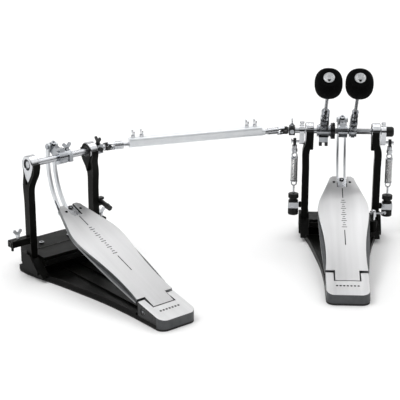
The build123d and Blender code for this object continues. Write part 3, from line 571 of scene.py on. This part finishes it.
refined("slave_joint_yoke", [black_oxide_and_shade, cast_steel], 0.00035, sleeve_faces)

# (material, bevel width, nodes)
GROUPS = (
    (black_metal, 0.0006, "primary_base_frame slave_base_frame slave_front_block left_posts "
     "right_posts anchor_bars hoop_clamp_bed hoop_clamp_jaw hoop_clamp_pivot spring_anchor_studs"),
    (black_oxide_and_shade, 0.00035, "driven_hub_disc tuning_tool"),
    (black_plastic, 0.001, "primary_axle_end_cap"),
    (chrome, 0.00045, "right_spring_rocker left_spring_rocker hoop_clamp_screw "
     "drive_shaft_wing_bolts"),
    (link_silver, 0.00045, "anchor_wing_bolts"),
    (satin, 0.00045, "drive_shaft_forks slave_axle"),
    (steel, 0.0003, "primary_axle driven_axle slave_joint_cross driven_joint_cross "
     "base_screws primary_beater_rod driven_beater_rod"),
    (satin, 0.0003, "right_spring_hook_rod left_spring_hook_rod"),
    (tube_silver, 0.0006, "drive_shaft_tube"),
    (rubber, 0.0005, "floor_mats hoop_bed_pad hoop_jaw_pad"),
)
for material, width, names in GROUPS:
    for node in names.split():
        piece = refined(node, material, width)
        # Bevels of black parts take the lighter edge material: wear and painted edge highlight.
        if material is black_metal:
            piece.data.materials.append(edge_wear_and_highlight)
            piece.modifiers["edges"].material = 1


# ---------------------------------------------------------------- beater heads and caps
for name, x in BEATERS.items():
    place = Matrix.Translation((x, 0, AXLE_Z)) @ Matrix.Rotation(LEAN, 4, "X")
    head = bmesh.new()
    bmesh.ops.create_icosphere(head, subdivisions=6, radius=1.0)
    for vert in head.verts:
        way = vert.co.normalized()
        full = sum(abs(w) ** HEAD_FULLNESS for w in way) ** (-1 / HEAD_FULLNESS)
        p = Vector(w * radius for w, radius in zip(way, HEAD_RADII)) * full
        fuzz = noise.fractal(p * 900 + Vector((x * 1000, 0, 0)), 0.8, 2.2, 5)
        lump = noise.noise(p * 90 + Vector((x * 700, 3, 1)))
        p = p * (1 + 0.0045 * fuzz + 0.006 * lump)
        p.z = min(max(p.z, HEAD_BOTTOM), HEAD_TOP)
        vert.co = p + Vector((0, 0, HEAD_REACH))
    place_verts(head, place)
    add_piece(f"{name}_felt_head", head, felt, f"{name}_beater", "felt",
              [f"{name}_beater_head"], 80)
    cap = lathe([(r, CAP_SEAT + up) for r, up in (
        (0.0006, -0.0006), (0.0090, -0.0006), (0.0095, -0.0001), (0.0095, 0.0011),
        (0.0090, 0.0017), (0.0080, 0.0018), (0.0076, 0.0014), (0.0005, 0.0014))], 64)
    place_verts(cap, place)
    add_piece(f"{name}_cap_disc", cap, cap_metal, f"{name}_beater", "bright_chrome",
              [f"{name}_beater_cap"], 30)
    mark = bmesh.new()
    corners = [mark.verts.new((u, v, CAP_SEAT + 0.0017))
               for u, v in ((-0.0031, -0.0036), (0.0031, -0.0036), (0, -0.0092))]
    face = mark.faces.new(corners)
    bmesh.ops.solidify(mark, geom=[face], thickness=0.0004)
    place_verts(mark, place)
    add_piece(f"{name}_cap_mark", mark, engraving_and_hole_shade, f"{name}_beater", "bright_chrome")


# ---------------------------------------------------------------- springs and knobs
def coil_points(x, low, high, radius, turns):
    """Close coil with a loop turned up at each end."""
    steps, loop_steps = 26, 13
    points = []

    def loop(start, height):
        for k in range(loop_steps + 1):
            a = radians(start + 200 * k / loop_steps)
            points.append((x + LOOP_RADIUS * cos(a) + 0.0006, 0, height + LOOP_RADIUS * sin(a)))

    loop(-200, low - 0.0056)
    count = int(turns * steps)
    for k in range(count + 1):
        a = 2 * pi * k / steps
        points.append((x + radius * cos(a), radius * sin(a), low + (high - low) * k / count))
    loop(0, high + 0.0056)
    return points


for name, x in SPRINGS.items():
    coil = sweep(coil_points(x, COIL_LOW, COIL_HIGH, 0.00575, 20), 0.00092, 10)
    piece = add_piece(f"{name}_coil", coil, spring_steel, None, "machined_steel",
                      [f"{name}_spring_coil"], 60)
    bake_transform(piece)
    upper = lathe([(0.0019, 0.0632), (0.0080, 0.0632), (0.0087, 0.0638), (0.0087, 0.0660),
                   (0.0080, 0.0666), (0.0066, 0.0672), (0.0062, 0.0685), (0.0066, 0.0699),
                   (0.0088, 0.0705), (0.0095, 0.0712), (0.0095, 0.0780), (0.0088, 0.0786),
                   (0.0076, 0.0787), (0.0019, 0.0783)], 96, 24, 0.0007)
    lower = lathe([(0.0019, 0.0391), (0.0088, 0.0391), (0.0095, 0.0398), (0.0095, 0.0510),
                   (0.0088, 0.0517), (0.0019, 0.0517)], 96, 24, 0.0007)
    knobs = place_verts(joined(upper, lower), Matrix.Translation((x, 0, 0)))
    add_piece(f"{name}_fluted_knobs", knobs, black_plastic, f"{name}_knobs", "black_plastic",
              [f"{name}_tension_knobs"], 35)


# ---------------------------------------------------------------- screws in the boards' toes
for name, place in PEDALS.items():
    screws = []
    for x in (-TOE_SCREW_X, TOE_SCREW_X):
        screw = lathe([(0.0004, -0.0030), (0.0017, -0.0030), (0.0017, 0), (0.0025, 0),
                       (0.0025, 0.0003), (0.0021, 0.0006), (0.0011, 0.0006), (0.0010, -0.0002),
                       (0.0003, -0.0002)], 32)
        seat = place @ BOARD_TOP @ Matrix.Translation((x, TOE_SCREW_Y, 0))
        screws.append(place_verts(screw, seat))
    add_piece(f"{name}_toe_screws", joined(*screws), engraving_and_hole_shade, f"{name}_board", "black_steel", (), 30)


# ---------------------------------------------------------------- engraving
def dashes(name, place, rows, depth, body):
    """Small round-ended engraved bars, each (x low, x high, y low, y high) on a sloping face."""
    build = bmesh.new()
    for x_low, x_high, y_low, y_high in rows:
        radius = 0.45 * min(x_high - x_low, y_high - y_low)
        outline = []
        right, left = x_high - radius, x_low + radius
        back, front = y_high - radius, y_low + radius
        for x, y, start in ((right, back, 0), (left, back, 90), (left, front, 180),
                            (right, front, 270)):
            for k in range(5):
                a = radians(start + 22.5 * k)
                outline.append((x + radius * cos(a), y + radius * sin(a)))
        top = [build.verts.new(place @ Vector((x, y, depth / 2))) for x, y in outline]
        low = [build.verts.new(place @ Vector((x, y, -depth / 2))) for x, y in outline]
        build.faces.new(top)
        build.faces.new(list(reversed(low)))
        for i in range(len(top)):
            j = (i + 1) % len(top)
            build.faces.new((top[j], top[i], low[i], low[j]))
    add_piece(name, build, engraving_and_hole_shade, body, "brushed_alloy")


# Two long bars with a ladder of short ones between them, and a row of bars on each heel.
board_bars = [(-0.0008, 0.0008, 0.0837, 0.1227), (-0.0008, 0.0008, 0.2105, 0.2376)]
for k in range(14):
    y = 0.1300 + k * 0.0056
    wide = (0.0046, 0.0030, 0.0020)[k % 3]
    board_bars.append((-wide, wide, y, y + 0.0015))
heel_bars = [(x, x + 0.0040, -0.0018, 0.0018) for x in (-0.0198 + k * 0.0058 for k in range(7))]
for name, place in PEDALS.items():
    dashes(f"{name}_board_marks", place @ BOARD_TOP, board_bars, 0.00012, f"{name}_board")
    dashes(f"{name}_heel_marks", place @ HEEL_TOP, heel_bars, 0.00016, "pedal_frames")


# ---------------------------------------------------------------- stage, light and camera
def stage_plane():
    """Pale floor that curves up into a backdrop."""
    front, back, curve, height, half_width = -6, 3.2, 1.2, 7, 7
    below_object = 0.0002
    profile = [(front, 0), (back, 0)]
    for k in range(1, 13):
        a = radians(90 * k / 12)
        profile.append((back + curve * sin(a), curve - curve * cos(a)))
    profile.append((back + curve, height))
    build = bmesh.new()
    last = None
    for y, z in profile:
        row = [build.verts.new((x, y, z - below_object)) for x in (-half_width, half_width)]
        if last:
            build.faces.new((last[0], last[1], row[1], row[0]))
        last = row
    for face in build.faces:
        face.smooth = True
    mesh = bpy.data.meshes.new("floor")
    build.to_mesh(mesh)
    build.free()
    floor = bpy.data.objects.new("floor", mesh)
    bpy.context.scene.collection.objects.link(floor)
    material, nodes, links, shader, place = new_material("pale_floor", (0.95, 0.95, 0.95), 0, 0.75)
    paper = noise_of(nodes, links, place, 300, 3)
    links.new(tinted(nodes, links, paper, (0.94, 0.94, 0.94), (0.96, 0.96, 0.96)),
              shader.inputs["Base Color"])
    mesh.materials.append(material)


def area_light(name, place, target, size, power):
    """A soft box that points at the target."""
    light = bpy.data.lights.new(name, "AREA")
    light.shape = "RECTANGLE"
    light.size, light.size_y = size
    light.energy = power
    lamp = bpy.data.objects.new(name, light)
    lamp.location = place
    lamp.rotation_euler = (Vector(target) - Vector(place)).to_track_quat("-Z", "Y").to_euler()
    bpy.context.scene.collection.objects.link(lamp)


def studio_world():
    """A bright room behind and above, dark on the player's side, plain to the camera."""
    world = bpy.data.worlds.new("studio")
    world.use_nodes = True
    nodes, links = world.node_tree.nodes, world.node_tree.links
    place = nodes.new("ShaderNodeTexCoord").outputs["Generated"]
    lean = nodes.new("ShaderNodeVectorMath")
    lean.operation = "DOT_PRODUCT"
    lean.inputs[1].default_value = (0, 0.55, 1)
    links.new(place, lean.inputs[0])
    room = tinted(nodes, links, ranged(nodes, links, lean.outputs["Value"], 0, 1, (-0.55, 0.6)),
                  (0.03, 0.03, 0.03), (1.0, 1.0, 1.0), (0.4, 0.8))
    back = nodes["Background"]
    links.new(room, back.inputs["Color"])
    flags = nodes.new("ShaderNodeTexWave")
    flags.bands_direction = "X"
    flags.inputs["Scale"].default_value = 0.55
    flags.inputs["Phase Offset"].default_value = 1.2
    links.new(place, flags.inputs["Vector"])
    links.new(ranged(nodes, links, flags.outputs["Fac"], 0.5, 1.3, (0.2, 0.8)),
              back.inputs["Strength"])
    plain = nodes.new("ShaderNodeBackground")
    plain.inputs["Color"].default_value = (1, 1, 1, 1)
    path = nodes.new("ShaderNodeLightPath")
    mix = nodes.new("ShaderNodeMixShader")
    links.new(path.outputs["Is Camera Ray"], mix.inputs["Fac"])
    links.new(back.outputs["Background"], mix.inputs[1])
    links.new(plain.outputs["Background"], mix.inputs[2])
    links.new(mix.outputs["Shader"], nodes["World Output"].inputs["Surface"])
    bpy.context.scene.world = world


stage_plane()
middle = (-0.2, -0.1, 0.12)
area_light("key", (-1.3, -1.2, 2.6), middle, (1.4, 1.0), 24)
area_light("top", (0.3, 0.6, 2.6), middle, (2.4, 1.4), 14)
area_light("side", (-2.4, -0.5, 1.0), middle, (0.5, 1.6), 5)
area_light("backdrop", (0, 2.0, 3.4), (0, 4.4, 1.4), (4.0, 1.0), 60)
studio_world()

camera_data = bpy.data.cameras.new("camera")
camera_data.sensor_width = 36
camera_data.lens = 118.46
camera = bpy.data.objects.new("camera", camera_data)
camera.location = (-0.14078, -2.27012, 0.8708)
camera.rotation_euler = (radians(90 - 19.576), 0, radians(2.894))
bpy.context.scene.collection.objects.link(camera)
bpy.context.scene.camera = camera
bpy.context.scene.view_settings.view_transform = "Standard"
